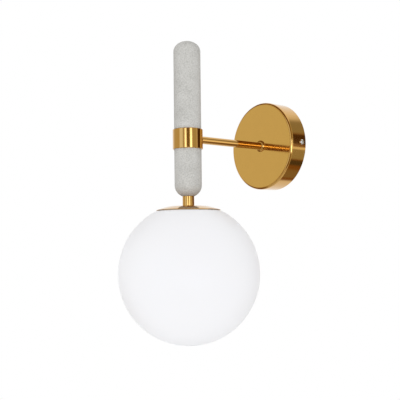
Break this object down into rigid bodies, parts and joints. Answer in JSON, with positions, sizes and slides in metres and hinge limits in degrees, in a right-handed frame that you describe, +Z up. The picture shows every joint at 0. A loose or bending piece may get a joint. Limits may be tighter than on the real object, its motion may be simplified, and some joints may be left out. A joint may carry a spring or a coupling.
{
  "type": "wall sconce",
  "caption": "Wall light: round brass plate, straight arm, grey stone column in a brass collar, and a screw-on opal glass globe under a shallow cap.",
  "frame": {"origin": "centre of the wall bracket's back face, on the wall, level with the arm's axis", "axes": "+Z up, +Y into the wall, -Y out into the room along the arm, X along the wall"},
  "size_m": [0.18, 0.244, 0.3901],
  "materials": {
    "satin_brass": "brushed and lacquered",
    "polished_brass": "polished",
    "stone": "honed, fine grain",
    "opal_glass": "satin opal",
    "bulb_diffuser": "frosted",
    "steel": "zinc plated",
    "chrome": "polished",
    "aluminium": "turned",
    "nylon": "moulded",
    "porcelain": "glazed",
    "bulb_plastic": "moulded",
    "silicone": "matt",
    "live_pvc": "extruded",
    "neutral_pvc": "extruded",
    "earth_pvc": "extruded",
    "black_glass": "fused"
  },
  "bodies": {
    "root": {"wall_bracket": "steel", "wall_plate": "satin_brass", "plate_screws": "chrome", "earth_screw": "polished_brass", "earth_lug": "chrome", "terminal_block": "nylon", "terminal_sleeves": "polished_brass", "terminal_screws": "steel", "block_screw": "steel", "live_lead": "live_pvc", "neutral_lead": "neutral_pvc", "earth_lead": "earth_pvc", "arm_tube": "satin_brass", "arm_flange": "satin_brass", "arm_washer": "steel", "arm_nut": "steel", "wire_bush": "nylon", "collar": "polished_brass", "stone_pads": "silicone", "upper_stone": "stone", "lower_stone": "stone", "centre_rod": "steel", "rod_washer": "steel", "rod_nut": "steel", "neck": "polished_brass", "cap": "polished_brass", "glass_holder": "aluminium", "cap_washer": "steel", "cap_nut": "steel", "holder_cup": "steel", "holder_body": "porcelain", "screw_shell": "polished_brass", "centre_contact": "polished_brass", "holder_screws": "polished_brass"},
    "globe_seal": {"gasket": "silicone"},
    "globe": {"globe": "opal_glass"},
    "bulb_tip": {"bulb_contact": "chrome"},
    "bulb": {"bulb_insulator": "black_glass", "bulb_base": "chrome", "bulb_board": "aluminium", "bulb_housing": "bulb_plastic", "bulb_dome": "bulb_diffuser"}
  },
  "joints": [
    {"name": "globe_drop", "type": "slide", "parent": "root", "child": "globe_seal", "axis": [0, 0, -1], "range_m": [0, 0.165]},
    {"name": "globe_turn", "type": "hinge", "parent": "globe_seal", "child": "globe", "pos_m": [0, -0.154, -0.173], "axis": [0, 0, -1], "range_deg": [0, 900]},
    {"name": "bulb_drop", "type": "slide", "parent": "root", "child": "bulb_tip", "axis": [0, 0, -1], "range_m": [0, 0.02177]},
    {"name": "bulb_turn", "type": "hinge", "parent": "bulb_tip", "child": "bulb", "pos_m": [0, -0.154, -0.173], "axis": [0, 0, -1], "range_deg": [0, 2160]}
  ],
  "couplings": [
    {"joint": "bulb_turn", "follows": "bulb_drop", "rad_per_m": 1731.5}
  ]
}
